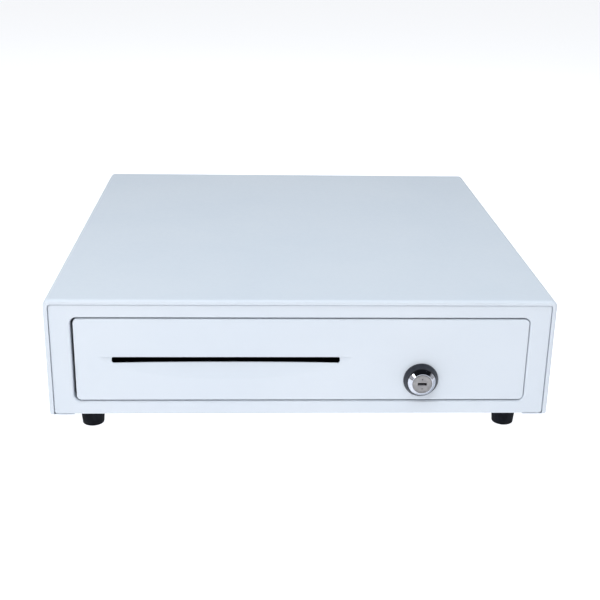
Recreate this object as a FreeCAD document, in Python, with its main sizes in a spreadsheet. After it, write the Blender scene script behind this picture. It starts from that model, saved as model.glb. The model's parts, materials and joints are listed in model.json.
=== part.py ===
import FreeCAD, Part
import math
import os
from collections import namedtuple

import Sketcher

# Cash drawer for a till point: a powder-coated steel case on rubber feet, a drawer on
# ball-bearing slides, a three-position cam lock, a media slot that feeds the space under a
# lift-out till, and a solenoid latch behind the drawer.
#
# Frame: +X to the right, +Y to the rear, +Z up. The origin is the middle of the ground face.
# Millimetres throughout. Heights in the sheet that are called "over the case floor" are
# counted from the underside of the case, which stands foot_height above the ground.

DIMENSIONS = (
    # case
    ("body_width", 410, "outside width of the cover"),
    ("body_depth", 420, "outside depth of the cover"),
    ("body_height", 100.8, "height of the case without its feet"),
    ("foot_height", 12.8, "clearance under the case"),
    ("cover_front", -207, "front edge of the cover"),
    ("cover_sheet", 1.0, "cover sheet thickness"),
    ("cover_bend", 5.5, "outside bend radius of the cover"),
    ("hem_sheet", 3.8, "thickness of the folded front hem"),
    ("hem_depth", 9.0, "depth of the folded front hem"),
    ("hem_nose", 2.8, "rounding of the hem's front edge"),
    ("hem_corner", 2.8, "inside corner radius of the hem"),
    ("floor_bend", 2.0, "outside bend radius at the bottom flanges"),
    ("rear_clearance", 3.5, "gap between the rear panel and the cover's sides"),
    ("floor_flange", 20, "width of the cover's bottom flanges"),
    ("rear_flange", 15, "width of the cover's rear flange"),
    ("base_sheet", 1.0, "base plate and rear panel thickness"),
    ("joggle_front", -188, "front of the base plate's step"),
    ("tongue_front", -203.5, "front edge of the base plate's tongue"),
    ("rib_across", 90, "middle of the base plate's ribs, left and right"),
    ("rib_height", 4, "height of the base plate's ribs"),
    ("rib_width", 1.2, "width of the base plate's ribs"),
    ("bolt_across", 150, "mounting bolt holes, left and right of the middle"),
    ("bolt_along", 140, "mounting bolt holes, front and rear of the middle"),
    ("bolt_hole", 2.75, "radius of the mounting bolt holes"),
    ("cover_screw_inset", 7.5, "cover screws in from the rear face's edges"),
    ("cover_screw_across", 150, "outer top cover screws, left and right of the middle"),
    ("cover_screw_rise", 45, "side cover screws over the case floor"),
    ("bezel_screw_inset", 9.5, "bezel screws behind the bezel's face"),
    ("bezel_screw_inner", 63, "inner bezel screws, left and right of the middle"),
    ("bezel_screw_outer", 189, "outer bezel screws, left and right of the middle"),
    ("rear_panel_flange", 5.5, "depth of the rear panel's flanges"),
    ("sheet_play", 0.1, "play between the rear panel and the cover's flange"),
    ("foot_edge", 0.8, "rounding of the feet's lower edge"),
    ("screw_hole", 1.8, "radius of the case screws' clearance holes"),
    ("thread_hole", 1.7, "radius of the case screws' threaded holes"),
    ("screw_radius", 1.65, "radius of the case screws' shanks"),
    ("foot_across", 172, "middle of the feet, left and right"),
    ("foot_front", -191.5, "middle of the front feet"),
    ("foot_rear", 190, "middle of the rear feet"),
    ("foot_radius", 8.8, "radius of the feet at the ground"),
    ("foot_bore", 4.6, "radius of the recess for the foot screws' heads"),
    ("foot_recess", 6, "height of the recess for the foot screws' heads"),
    ("foot_screw_hole", 2.1, "radius of the foot screws' holes"),
    ("socket_left", 130, "left side of the cable socket's opening"),
    ("socket_right", 144, "right side of the cable socket's opening"),
    ("socket_low", 28, "bottom of the cable socket's opening over the case floor"),
    ("socket_high", 42, "top of the cable socket's opening over the case floor"),
    ("socket_length", 19, "length of the cable socket"),
    ("socket_depth", 15, "depth of the hollow that takes the plug"),
    ("panel_sheet", 1.2, "bezel and drawer front thickness"),
    ("panel_gap", 0.2, "gap between the hem and the bezel"),
    ("face_setback", 1.0, "bezel face behind the cover's front edge"),
    ("bezel_depth", 12, "depth of the bezel's return walls"),
    ("bezel_foot", 17.5, "depth of the bezel's bottom flange"),
    ("bezel_edge", 1.2, "rounding of the bezel's outer edge"),
    ("bezel_corner", 2.6, "corner radius of the bezel, inside the hem's bend"),
    ("opening_width", 368.8, "width of the drawer opening"),
    ("opening_low", 12.55, "bottom of the opening over the case floor"),
    ("opening_high", 85.5, "top of the opening over the case floor"),
    ("opening_corner", 5.5, "corner radius of the opening"),
    ("opening_edge", 1.6, "rounding of the opening's front edge"),
    ("lip_depth", 8, "depth of the lip around the opening"),
    ("catch_depth", 21, "depth of the bottom lip, which the lock cam catches"),
    # drawer front
    ("front_width", 366.0, "width of the drawer front"),
    ("front_shift", 0.85, "how far the drawer front sits to the right"),
    ("front_low", 13.65, "bottom of the drawer front over the case floor"),
    ("front_high", 84.45, "top of the drawer front over the case floor"),
    ("front_corner", 4.0, "corner radius of the drawer front"),
    ("front_edge", 1.0, "rounding of the drawer front's edge"),
    ("front_depth", 11, "depth of the drawer front's return walls"),
    ("scoop_centre", -61.2, "middle of the finger scoop"),
    ("scoop_ledge", 51.8, "top ledge of the scoop over the case floor"),
    ("scoop_half_width", 107, "half width of the scoop's ellipse"),
    ("scoop_half_height", 25.8, "half height of the scoop's ellipse"),
    ("scoop_centre_rise", 6.9, "centre of the ellipse above the ledge"),
    ("scoop_slope", 0.17, "depth the scoop gains per millimetre of height"),
    ("scoop_run", 32, "height over which the scoop runs out"),
    ("slot_width", 184, "width of the media slot"),
    ("slot_height", 5.2, "height of the media slot"),
    ("slot_drop", 0.2, "top of the media slot below the ledge"),
    ("slot_corner", 1.9, "corner radius of the media slot"),
    # drawer tray
    ("tray_width", 349, "outside width of the tray"),
    ("tray_rear", 138, "rear face of the tray"),
    ("tray_floor", 15.0, "underside of the tray over the case floor"),
    ("tray_high", 60, "top of the tray over the case floor"),
    ("tray_sheet", 1.0, "tray sheet thickness"),
    ("bay_wall", -170, "front face of the wall between lock bay and till"),
    ("bay_window_high", 28.5, "top of the chute's window over the case floor"),
    ("front_window_low", 27, "bottom of the scoop's window over the case floor"),
    ("cam_slot_left", 8, "cam slot in the tray's floor, left of the lock"),
    ("cam_slot_right", 21, "cam slot in the tray's floor, right of the lock"),
    ("cam_slot_depth", 6, "cam slot in the tray's floor, front to back"),
    ("chute_sheet", 1.0, "wall thickness of the media chute"),
    # slides
    ("rail_height", 37, "middle of the slides over the case floor"),
    ("rail_outside", 184.5, "outer face of the outer rail's web"),
    ("rail_half_height", 13.5, "half height of the outer rail"),
    ("rail_sheet", 1.0, "web thickness of the rails"),
    ("rail_flange", 1.2, "flange thickness of the rails"),
    ("rail_tip", 175.9, "inner edge of the outer rail's flanges"),
    ("rail_lip", 1.1, "height of the lips that keep the balls in"),
    ("inner_rail_half", 8.1, "half height of the inner rail"),
    ("inner_rail_tip", 182.3, "outer edge of the inner rail's flanges"),
    ("inner_lip_width", 0.8, "width of the inner rail's lips"),
    ("rivet_hole", 1.6, "radius of the rivet holes"),
    ("rivet_radius", 1.55, "radius of the rivets' shanks"),
    ("rivet_head", 3.2, "radius of the rivets' heads"),
    ("rail_front", -193, "front end of the outer rails"),
    ("rail_rear", 205, "rear end of the outer rails"),
    ("inner_rail_front", -190, "front end of the inner rails"),
    ("inner_rail_rear", 137, "rear end of the inner rails"),
    ("cage_front", -59, "front end of the ball cages, drawer closed"),
    ("cage_length", 62, "length of the ball cages"),
    ("cage_sheet", 0.6, "ball cage thickness"),
    ("cage_outside", 183.2, "outer face of the cage's web"),
    ("cage_tip", 176.1, "inner edge of the cage's flanges"),
    ("ball_radius", 2.0, "radius of the balls"),
    ("ball_across", 179.2, "middle of the balls across the drawer"),
    ("ball_rise", 10.2, "middle of the balls above and below the slide's axis"),
    ("bracket_sheet", 1.2, "rail bracket thickness"),
    ("bracket_high", 58, "top of the rail brackets over the case floor"),
    # till
    ("till_width", 342, "width of the till below its rim"),
    ("till_front", -167.5, "front face of the till"),
    ("till_rear", 135, "rear face of the till"),
    ("till_low", 25, "underside of the till over the case floor"),
    ("rim_width", 348.6, "width of the till's rim"),
    ("rim_sheet", 2.5, "thickness of the rim"),
    ("till_wall", 2.4, "wall and floor thickness of the till"),
    ("coin_rear", -60, "rear of the coin section"),
    ("note_front", -56, "front of the note compartments"),
    ("cup_wall", 1.6, "wall thickness of the coin cups"),
    ("cup_height", 31, "height of the coin cups"),
    ("cup_gap", 0.8, "gap around each coin cup"),
    ("cup_bend", 11, "radius of the curve inside the coin cups, front and rear"),
    ("cup_corner", 5, "corner radius of the coin cups"),
    ("cup_foot", 3.4, "rounding of the coin cups' lower edge"),
    ("clip_axis_y", 122, "middle of the clip rod, front to back"),
    ("clip_axis_high", 52, "middle of the clip rod over the case floor"),
    ("clip_rod_radius", 2.0, "radius of the clip rod"),
    ("clip_hub_radius", 4.2, "radius of the bill clips' hubs"),
    ("clip_reach", 102, "distance from the rod to the clip's foot"),
    ("clip_width", 22, "width of the bill clips"),
    ("clip_foot", 4, "radius of the bill clips' feet"),
    ("clip_spring_radius", 3.4, "radius of the bill clips' springs"),
    ("clip_spring_length", 7, "length of the bill clips' springs"),
    # lock
    ("lock_across", 98.05, "middle of the lock across the drawer"),
    ("lock_high", 31.7, "middle of the lock over the case floor"),
    ("barrel_radius", 9.5, "radius of the lock barrel"),
    ("barrel_depth", 22, "length of the barrel behind the drawer face"),
    ("ring_radius", 11.35, "radius of the polished ring"),
    ("collar_radius", 14.35, "radius of the black collar at the drawer face"),
    ("collar_height", 5.0, "height of the black collar"),
    ("nut_height", 4, "height of the lock nut"),
    ("nut_across", 24, "width of the lock nut across its flats"),
    ("drive_half", 3.5, "half width of the square that turns the cam"),
    ("key_half", 3.6, "half length of the keyway"),
    ("key_slit", 1.1, "half width of the keyway"),
    ("key_depth", 14, "depth of the keyway"),
    ("ring_proud", 9.0, "how far the lock stands out of the drawer face"),
    ("plug_radius", 8.05, "radius of the key plug"),
    ("cam_reach", 24, "length of the cam from the lock's axis"),
    ("cam_width", 12, "width of the cam"),
    ("cam_sheet", 2.0, "thickness of the cam"),
    # latch
    ("pivot_across", 14, "middle of the latch pivot across the case"),
    ("pivot_y", 182, "middle of the latch pivot, front to back"),
    ("pivot_radius", 3.0, "radius of the latch pivot"),
    ("striker_y", 152, "middle of the striker pin, front to back"),
    ("striker_radius", 3.0, "radius of the striker pin"),
    ("hook_low", 30, "underside of the latch hook over the case floor"),
    ("hook_sheet", 3.0, "thickness of the latch hook"),
    ("latch_angle", 18, "turn of the latch from released to engaged, degrees"),
    ("tail_reach", 16, "distance from the pivot to the plunger's pin"),
    ("shelf_low", 18, "underside of the latch shelf over the case floor"),
    ("shelf_sheet", 2.0, "thickness of the latch shelf"),
    ("shelf_half", 62, "half width of the latch shelf between its legs"),
    ("shelf_foot", 12, "width of the latch shelf's feet"),
    ("shelf_front", 170, "front edge of the latch shelf"),
    ("shelf_rear", 206, "rear edge of the latch shelf"),
    ("striker_half", 16, "half width of the striker's plate"),
    ("striker_bottom", 24, "bottom of the striker over the case floor"),
    ("striker_top", 44, "top of the striker over the case floor"),
    ("striker_sheet", 1.5, "thickness of the striker"),
    ("solenoid_left", -46, "left side of the solenoid's frame"),
    ("solenoid_right", -12, "right side of the solenoid's frame"),
    ("solenoid_sheet", 2, "thickness of the solenoid's frame"),
    ("solenoid_half", 9, "half depth of the solenoid's frame"),
    ("plunger_radius", 4, "radius of the solenoid's plunger"),
    ("plunger_bore", 4.4, "radius of the coil's bore"),
    ("plunger_pin", 1.45, "radius of the pin between plunger and hook"),
    # kick spring and drawer switch
    ("spring_across", -110, "middle of the kick spring across the case"),
    ("spring_height", 40, "middle of the kick spring over the case floor"),
    ("spring_radius", 5.6, "radius of the kick spring's coils"),
    ("spring_wire", 0.8, "radius of the kick spring's wire"),
    ("spring_turns", 9, "turns of the kick spring"),
    ("guide_flange", 9, "radius of the spring guide's flange"),
    ("guide_radius", 3.4, "radius of the spring guide"),
    ("guide_length", 54, "length of the spring guide"),
    ("switch_left", 40, "left side of the drawer switch"),
    ("switch_right", 60, "right side of the drawer switch"),
    ("switch_front", 172, "front of the drawer switch"),
    ("switch_depth", 8, "depth of the drawer switch"),
    ("switch_height", 10, "height of the drawer switch"),
    ("lever_pin", 0.8, "radius of the switch lever's pin"),
    ("lever_hub", 1.3, "radius of the switch lever's hub"),
)

doc = FreeCAD.newDocument("cash_drawer")
sheet = doc.addObject("Spreadsheet::Sheet", "Dims")
for row, (alias, number, meaning) in enumerate(DIMENSIONS, start=1):
    sheet.set(f"A{row}", meaning)
    sheet.set(f"B{row}", str(number))
    sheet.setAlias(f"B{row}", alias)
doc.recompute()


class Size:
    """A length that carries its number and the sheet expression that gives it."""

    def __init__(self, number, text):
        self.number = number
        self.text = text

    def __add__(self, other):
        return Size(self.number + number_of(other), f"({self.text} + {text_of(other)})")

    def __radd__(self, other):
        return Size(number_of(other) + self.number, f"({text_of(other)} + {self.text})")

    def __sub__(self, other):
        return Size(self.number - number_of(other), f"({self.text} - {text_of(other)})")

    def __rsub__(self, other):
        return Size(number_of(other) - self.number, f"({text_of(other)} - {self.text})")

    def __mul__(self, other):
        return Size(self.number * number_of(other), f"({self.text} * {text_of(other)})")

    __rmul__ = __mul__

    def __truediv__(self, other):
        return Size(self.number / number_of(other), f"({self.text} / {text_of(other)})")

    def __neg__(self):
        return Size(-self.number, f"(-{self.text})")


def number_of(value):
    return value.number if isinstance(value, Size) else float(value)


def text_of(value):
    return value.text if isinstance(value, Size) else f"({float(value):.6f})"


Dims = namedtuple("Dims", [alias for alias, _, _ in DIMENSIONS])
D = Dims(*(Size(float(number), f"Dims.{alias}") for alias, number, _ in DIMENSIONS))
Circle = namedtuple("Circle", "across along radius")

half = D.body_width / 2
base = D.foot_height
top = base + D.body_height
front = D.cover_front
rear = front + D.body_depth
face = front + D.face_setback
ACROSS = {"XY_Plane": "z", "XZ_Plane": "y", "YZ_Plane": "x"}
FORWARD = FreeCAD.Rotation(FreeCAD.Vector(1, 0, 0), 90)
SIDES = (("left", -1), ("right", 1))
nodes = {}


# ---------------------------------------------------------------------------- helpers

def bind(item, name, value):
    item.setExpression(name, text_of(value))


def ordered(pair):
    """Puts a range in rising order, so that mirrored ranges can be given as they come."""
    return tuple(sorted(pair, key=number_of))


def rectangle(across, along):
    (x_low, x_high), (y_low, y_high) = ordered(across), ordered(along)
    return [(x_low, y_low), (x_high, y_low), (x_high, y_high), (x_low, y_high)]


def mirrored(points, side):
    return [(side * across, along) for across, along in points]


def pin_point(sketch, item, end, point):
    """Holds one point of the sketch at a pair of sheet expressions."""
    for kind, value in zip(("DistanceX", "DistanceY"), point):
        index = sketch.addConstraint(Sketcher.Constraint(kind, item, end, number_of(value)))
        sketch.setExpression(f"Constraints[{index}]", text_of(value))


def draw_circle(sketch, loop):
    centre = FreeCAD.Vector(number_of(loop.across), number_of(loop.along), 0)
    round_line = Part.Circle(centre, FreeCAD.Vector(0, 0, 1), number_of(loop.radius))
    item = sketch.addGeometry(round_line, False)
    pin_point(sketch, item, 3, (loop.across, loop.along))
    index = sketch.addConstraint(Sketcher.Constraint("Radius", item, number_of(loop.radius)))
    sketch.setExpression(f"Constraints[{index}]", text_of(loop.radius))


def draw_polygon(sketch, points):
    corners = [FreeCAD.Vector(number_of(x), number_of(y), 0) for x, y in points]
    first = sketch.GeometryCount
    for start, end in zip(corners, corners[1:] + corners[:1]):
        sketch.addGeometry(Part.LineSegment(start, end), False)
    for index, point in enumerate(points):
        following = first + (index + 1) % len(points)
        sketch.addConstraint(Sketcher.Constraint("Coincident", first + index, 2, following, 1))
        pin_point(sketch, first + index, 1, point)


def sketch_on(body, role, level, loops):
    """Draws closed loops on one of the body's origin planes, moved to a level along its axis."""
    sketch = body.newObject("Sketcher::SketchObject", body.Label + "_outline")
    plane = next(item for item in body.Origin.OriginFeatures if item.Role == role)
    sketch.AttachmentSupport = (plane, [""])
    sketch.MapMode = "FlatFace"
    bind(sketch, "AttachmentOffset.Base.z", -level if role == "XZ_Plane" else level)
    for loop in loops:
        if isinstance(loop, Circle):
            draw_circle(sketch, loop)
        else:
            draw_polygon(sketch, loop)
    return sketch


def extrude(body, role, span, loops, remove=False, taper=0):
    """Adds or removes the loops' area between two levels along the plane's axis."""
    low, high = ordered(span)
    # pads follow the sketch's normal and pockets run against it; XZ_Plane's normal is -Y
    level = low if (role == "XZ_Plane") == remove else high
    before = body.Shape.Volume if body.Tip else 0
    sketch = sketch_on(body, role, level, loops)
    kind = "PartDesign::Pocket" if remove else "PartDesign::Pad"
    feature = body.newObject(kind, body.Label + ("_pocket" if remove else "_pad"))
    feature.Profile = sketch
    bind(feature, "Length", high - low)
    feature.TaperAngle = taper
    doc.recompute()
    change = body.Shape.Volume - before
    if abs(change) < 1e-3 or (change > 0) == remove:
        raise ValueError(f"{feature.Name} of {body.Label} changes nothing")
    return feature


def new_body(label):
    body = doc.addObject("PartDesign::Body", label)
    body.Label = label
    nodes[label] = body
    return body


def revolve(label, profile, place, rotation=FORWARD):
    """Turns a profile of (radius, height) points; its axis points along the rotated +Z."""
    body = new_body(label)
    sketch = sketch_on(body, "XZ_Plane", 0, [profile])
    feature = body.newObject("PartDesign::Revolution", label + "_turned")
    feature.Profile = sketch
    feature.ReferenceAxis = (sketch, ["V_Axis"])
    feature.Angle = 360
    body.Placement = FreeCAD.Placement(FreeCAD.Vector(0, 0, 0), rotation)
    for axis, value in zip("xyz", place):
        bind(body, f"Placement.Base.{axis}", value)
    doc.recompute()
    return body


def edges_at(shape, places, keep):
    """Names the edges that keep to one of the given levels along each named axis."""
    names = []
    for index, edge in enumerate(shape.Edges, start=1):
        ends = [vertex.Point for vertex in edge.Vertexes]
        if not keep(edge.BoundBox):
            continue
        if all(any(max(abs(getattr(end, axis) - number_of(level)) for end in ends) < 0.01
                   for level in levels)
               for axis, levels in places.items()):
            names.append(f"Edge{index}")
    return names


def round_edges(body, radius, keep=lambda room: True, **places):
    """Rounds every edge that lies at the given places, such as x=(left, right), z=(top,)."""
    tip = body.Tip
    names = edges_at(tip.Shape, places, keep)
    if not names:
        raise ValueError(f"no edge of {body.Label} lies at {places}")
    feature = body.newObject("PartDesign::Fillet", body.Label + "_round")
    feature.Base = (tip, names)
    bind(feature, "Radius", radius)
    doc.recompute()
    if not feature.isValid() or feature.Shape.isNull():
        raise ValueError(f"{feature.Name} of {body.Label} could not be rounded")
    return feature


def box(name, across, along, up):
    """A plain block between three ranges."""
    part = doc.addObject("Part::Box", name)
    for size, axis, span in zip(("Length", "Width", "Height"), "xyz", (across, along, up)):
        low, high = ordered(span)
        bind(part, size, high - low)
        bind(part, f"Placement.Base.{axis}", low)
    return part


def combine(kind, name, pieces):
    part = doc.addObject(kind, name)
    if kind == "Part::Cut":
        part.Base, part.Tool = pieces
    elif kind == "Part::Compound":
        part.Links = pieces
    else:
        part.Shapes = pieces
    doc.recompute()
    return part


def as_node(label, part):
    part.Label = label
    nodes[label] = part
    return part


def screws(body, role, places, seat, head_end, shank_end, head, shank):
    """Adds a group of like screws: domed heads on their seats, shanks and cross recesses."""
    extrude(body, role, (seat, head_end), [Circle(x, y, head) for x, y in places])
    round_edges(body, 0.9, **{ACROSS[role]: (head_end,)})
    extrude(body, role, (seat, shank_end), [Circle(x, y, shank) for x, y in places])
    depth = 0.6 * (seat - head_end)
    long, thin = head * 0.55, head * 0.14
    for bar in ((long, thin), (thin, long)):
        loops = [rectangle((x - bar[0], x + bar[0]), (y - bar[1], y + bar[1]))
                 for x, y in places]
        extrude(body, role, (head_end, head_end + depth), loops, remove=True)


def rounded_block(body, across, along, up, corner):
    """A block with its four upright-to-the-face corners rounded (face in the XZ plane)."""
    extrude(body, "XZ_Plane", along, [rectangle(across, up)])
    round_edges(body, corner, x=across, z=up)


# ------------------------------------------------------------------------------- case

COVER_SCREWS = [(x * D.cover_screw_across, top - D.cover_screw_inset) for x in (-1, 0, 1)]
COVER_SCREWS += [(side * (half - D.cover_screw_inset), base + D.cover_screw_rise)
                 for _, side in SIDES]
BEZEL_SCREW_Y = face + D.bezel_screw_inset
BEZEL_SCREWS_MIDDLE = [(side * D.bezel_screw_inner, BEZEL_SCREW_Y) for _, side in SIDES]
BEZEL_SCREWS_OUTER = [(side * D.bezel_screw_outer, BEZEL_SCREW_Y) for _, side in SIDES]
BEZEL_SCREWS = BEZEL_SCREWS_MIDDLE + BEZEL_SCREWS_OUTER
FRONT_FEET = [(side * D.foot_across, D.foot_front) for _, side in SIDES]
REAR_FEET = [(side * D.foot_across, D.foot_rear) for _, side in SIDES]
FEET = FRONT_FEET + REAR_FEET
BOLT_HOLES = [(x * D.bolt_across, y * D.bolt_along) for x in (-1, 1) for y in (-1, 1)]
SOCKET_ACROSS = (D.socket_left, D.socket_right)
SOCKET_UP = (base + D.socket_low, base + D.socket_high)


def holes(places, radius):
    return [Circle(across, along, radius) for across, along in places]


def wrap_outline(thickness):
    """The cover's section: up one side, across the top and down the other."""
    inner = half - thickness
    return [(-half, base), (-half, top), (half, top), (half, base),
            (inner, base), (inner, top - thickness), (-inner, top - thickness), (-inner, base)]


def top_cover():
    body = new_body("top_cover")
    sheet_in = half - D.cover_sheet
    floor_in = half - D.floor_flange
    hem_in = half - D.hem_sheet
    floor_top = base + D.cover_sheet
    extrude(body, "XZ_Plane", (front, rear), [wrap_outline(D.cover_sheet)])
    for _, side in SIDES:
        flange = rectangle((side * half, side * floor_in), (base, floor_top))
        extrude(body, "XZ_Plane", (front, rear), [flange])
    extrude(body, "XZ_Plane", (front, front + D.hem_depth), [wrap_outline(D.hem_sheet)])
    extrude(body, "XZ_Plane", (rear - D.cover_sheet, rear), [wrap_outline(D.rear_flange)])
    round_edges(body, D.cover_bend, x=(-half, half), z=(top,))
    round_edges(body, D.cover_bend - D.cover_sheet, x=(-sheet_in, sheet_in),
                z=(top - D.cover_sheet,))
    round_edges(body, D.hem_corner, x=(-hem_in, hem_in), z=(top - D.hem_sheet,))
    round_edges(body, D.floor_bend, x=(-half, half), z=(base,))
    out = number_of(half) - 1
    high = number_of(top) - 1
    round_edges(body, D.hem_nose, y=(front,),
                keep=lambda room: room.XMax > out or room.XMin < -out or room.ZMax > high)
    extrude(body, "XZ_Plane", (rear - 3, rear + 1),
            holes(COVER_SCREWS, D.screw_hole), remove=True)
    extrude(body, "XY_Plane", (base - 1, floor_top + 0.5),
            holes(BEZEL_SCREWS_OUTER, D.screw_hole), remove=True)


def base_plate():
    body = new_body("base_plate")
    width = half - D.hem_sheet - D.panel_sheet - 2 * D.panel_gap
    low = base + D.cover_sheet
    high = low + D.base_sheet
    step = D.panel_sheet
    step_rear = D.joggle_front + D.base_sheet
    rear_edge = rear - D.cover_sheet - D.sheet_play
    profile = [(D.tongue_front, low + step), (D.tongue_front, high + step),
               (step_rear, high + step), (step_rear, high), (rear_edge, high),
               (rear_edge, low), (D.joggle_front, low), (D.joggle_front, low + step)]
    extrude(body, "YZ_Plane", (-width, width), [profile])
    rib = rectangle((D.joggle_front + 30, rear_edge - 40), (high, high + D.rib_height))
    half_rib = D.rib_width / 2
    for across in (-D.rib_across, D.rib_across):
        extrude(body, "YZ_Plane", (across - half_rib, across + half_rib), [rib])
    bores = holes(BOLT_HOLES, D.bolt_hole) + holes(FEET, D.foot_screw_hole)
    bores += holes(BEZEL_SCREWS, D.screw_hole)
    extrude(body, "XY_Plane", (low - 1, high + step + 1), bores, remove=True)


def rear_panel():
    body = new_body("rear_panel")
    width = half - D.cover_sheet - D.rear_clearance
    inner = rear - D.cover_sheet - D.sheet_play
    outer = inner - D.base_sheet
    low = base + D.cover_sheet + D.base_sheet
    high = top - D.cover_sheet - 0.3
    flange = inner - D.rear_panel_flange
    profile = [(inner, low), (inner, high), (flange, high), (flange, high - D.base_sheet),
               (outer, high - D.base_sheet), (outer, low + D.base_sheet),
               (flange, low + D.base_sheet), (flange, low)]
    extrude(body, "YZ_Plane", (-width, width), [profile])
    round_edges(body, 1.5, y=(inner,), z=(high,))
    extrude(body, "XZ_Plane", (outer - 1, inner + 1),
            holes(COVER_SCREWS, D.thread_hole) + [rectangle(SOCKET_ACROSS, SOCKET_UP)],
            remove=True)


def cable_socket():
    body = new_body("cable_socket")
    left, right = SOCKET_ACROSS
    low, high = SOCKET_UP
    mouth = rear + 0.6
    gap, frame = 0.15, 1.5
    extrude(body, "XZ_Plane", (mouth - D.socket_length, mouth - frame),
            [rectangle((left + gap, right - gap), (low + gap, high - gap))])
    extrude(body, "XZ_Plane", (rear - D.cover_sheet - D.sheet_play, mouth),
            [rectangle((left - frame, right + frame), (low - frame, high + frame))])
    round_edges(body, 0.5, y=(mouth,))
    plug = rectangle((left + 2.2, right - 2.2), (low + 4, high - 2.4))
    release_tab = rectangle((left + 5, right - 5), (low + 1.6, low + 4.5))
    for hollow in (plug, release_tab):
        extrude(body, "XZ_Plane", (mouth - D.socket_depth, mouth + 1), [hollow], remove=True)


def front_bezel():
    body = new_body("front_bezel")
    wall = D.panel_sheet
    width = half - D.hem_sheet - D.panel_gap
    low = base + D.cover_sheet
    high = top - D.hem_sheet - D.panel_gap
    open_half = D.opening_width / 2
    open_low, open_high = base + D.opening_low, base + D.opening_high
    back = face + D.bezel_depth
    rounded_block(body, (-width, width), (face, back), (low, high), D.bezel_corner)
    round_edges(body, D.bezel_edge, y=(face,))
    extrude(body, "XZ_Plane", (face + wall, back + 1),
            [rectangle((wall - width, width - wall), (low + wall, high - wall))], remove=True)
    lip_across = (-open_half - wall, open_half + wall)
    lip_up = (open_low - wall, open_high + wall)
    extrude(body, "XZ_Plane", (face + wall, face + D.lip_depth),
            [rectangle(lip_across, lip_up)])
    catch = rectangle((8 - open_half, open_half - 8), (open_low - wall, open_low))
    extrude(body, "XZ_Plane", (face + wall, face + D.catch_depth), [catch])
    foot = rectangle((2.5 - width, width - 2.5), (low, low + wall))
    extrude(body, "XZ_Plane", (back - 1, face + D.bezel_foot), [foot])
    extrude(body, "XZ_Plane", (face - 1, face + D.lip_depth + 1),
            [rectangle((-open_half, open_half), (open_low, open_high))], remove=True)
    round_edges(body, D.opening_corner, x=(-open_half, open_half), z=(open_low, open_high))
    opening_rim(body, open_half, open_low, open_high)
    extrude(body, "XY_Plane", (low - 1, low + wall + 0.5),
            holes(BEZEL_SCREWS, D.screw_hole) + holes(FRONT_FEET, D.foot_screw_hole + 0.1),
            remove=True)


def opening_rim(body, open_half, open_low, open_high):
    """Rounds the front edge of the drawer opening."""
    tip = body.Tip
    inside = [number_of(open_half) + 0.1, number_of(open_low) - 0.1, number_of(open_high) + 0.1]
    names = []
    for index, edge in enumerate(tip.Shape.Edges, start=1):
        room = edge.BoundBox
        on_face = abs(room.YMin - number_of(face)) < 0.01 and room.YLength < 0.01
        if on_face and room.XMax < inside[0] and -room.XMin < inside[0] \
                and room.ZMin > inside[1] and room.ZMax < inside[2]:
            names.append(f"Edge{index}")
    feature = body.newObject("PartDesign::Fillet", body.Label + "_rim")
    feature.Base = (tip, names)
    bind(feature, "Radius", D.opening_edge)
    doc.recompute()


def rubber_feet():
    body = new_body("rubber_feet")
    seat = base + D.cover_sheet
    extrude(body, "XY_Plane", (0, seat), holes(FEET, D.foot_radius), taper=5.5)
    round_edges(body, D.foot_edge, z=(0,))
    extrude(body, "XY_Plane", (0, D.foot_recess), holes(FEET, D.foot_bore), remove=True)
    extrude(body, "XY_Plane", (D.foot_recess - 1, seat), holes(FEET, D.foot_screw_hole),
            remove=True)


def case_screws():
    seat = D.foot_recess
    screws(new_body("foot_screws"), "XY_Plane", FEET, seat, seat - 2.4, base + 4, 4.0, 2.0)
    shank_end = base + D.cover_sheet + D.panel_sheet + 3
    bezel_screws = new_body("bezel_screws")
    for places, seat in ((BEZEL_SCREWS_MIDDLE, base + D.cover_sheet), (BEZEL_SCREWS_OUTER, base)):
        screws(bezel_screws, "XY_Plane", places, seat, seat - 1.7, shank_end, 3.2, D.screw_radius)
    screws(new_body("cover_screws"), "XZ_Plane", COVER_SCREWS, rear, rear + 2, rear - 8, 3.5,
           D.screw_radius)


# ----------------------------------------------------------------------------- slides

RIVET_RAIL_Y = (-150, 20, 180)
RIVET_TRAY_Y = (-150, -20, 110)
BALLS_PER_ROW = 6


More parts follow.
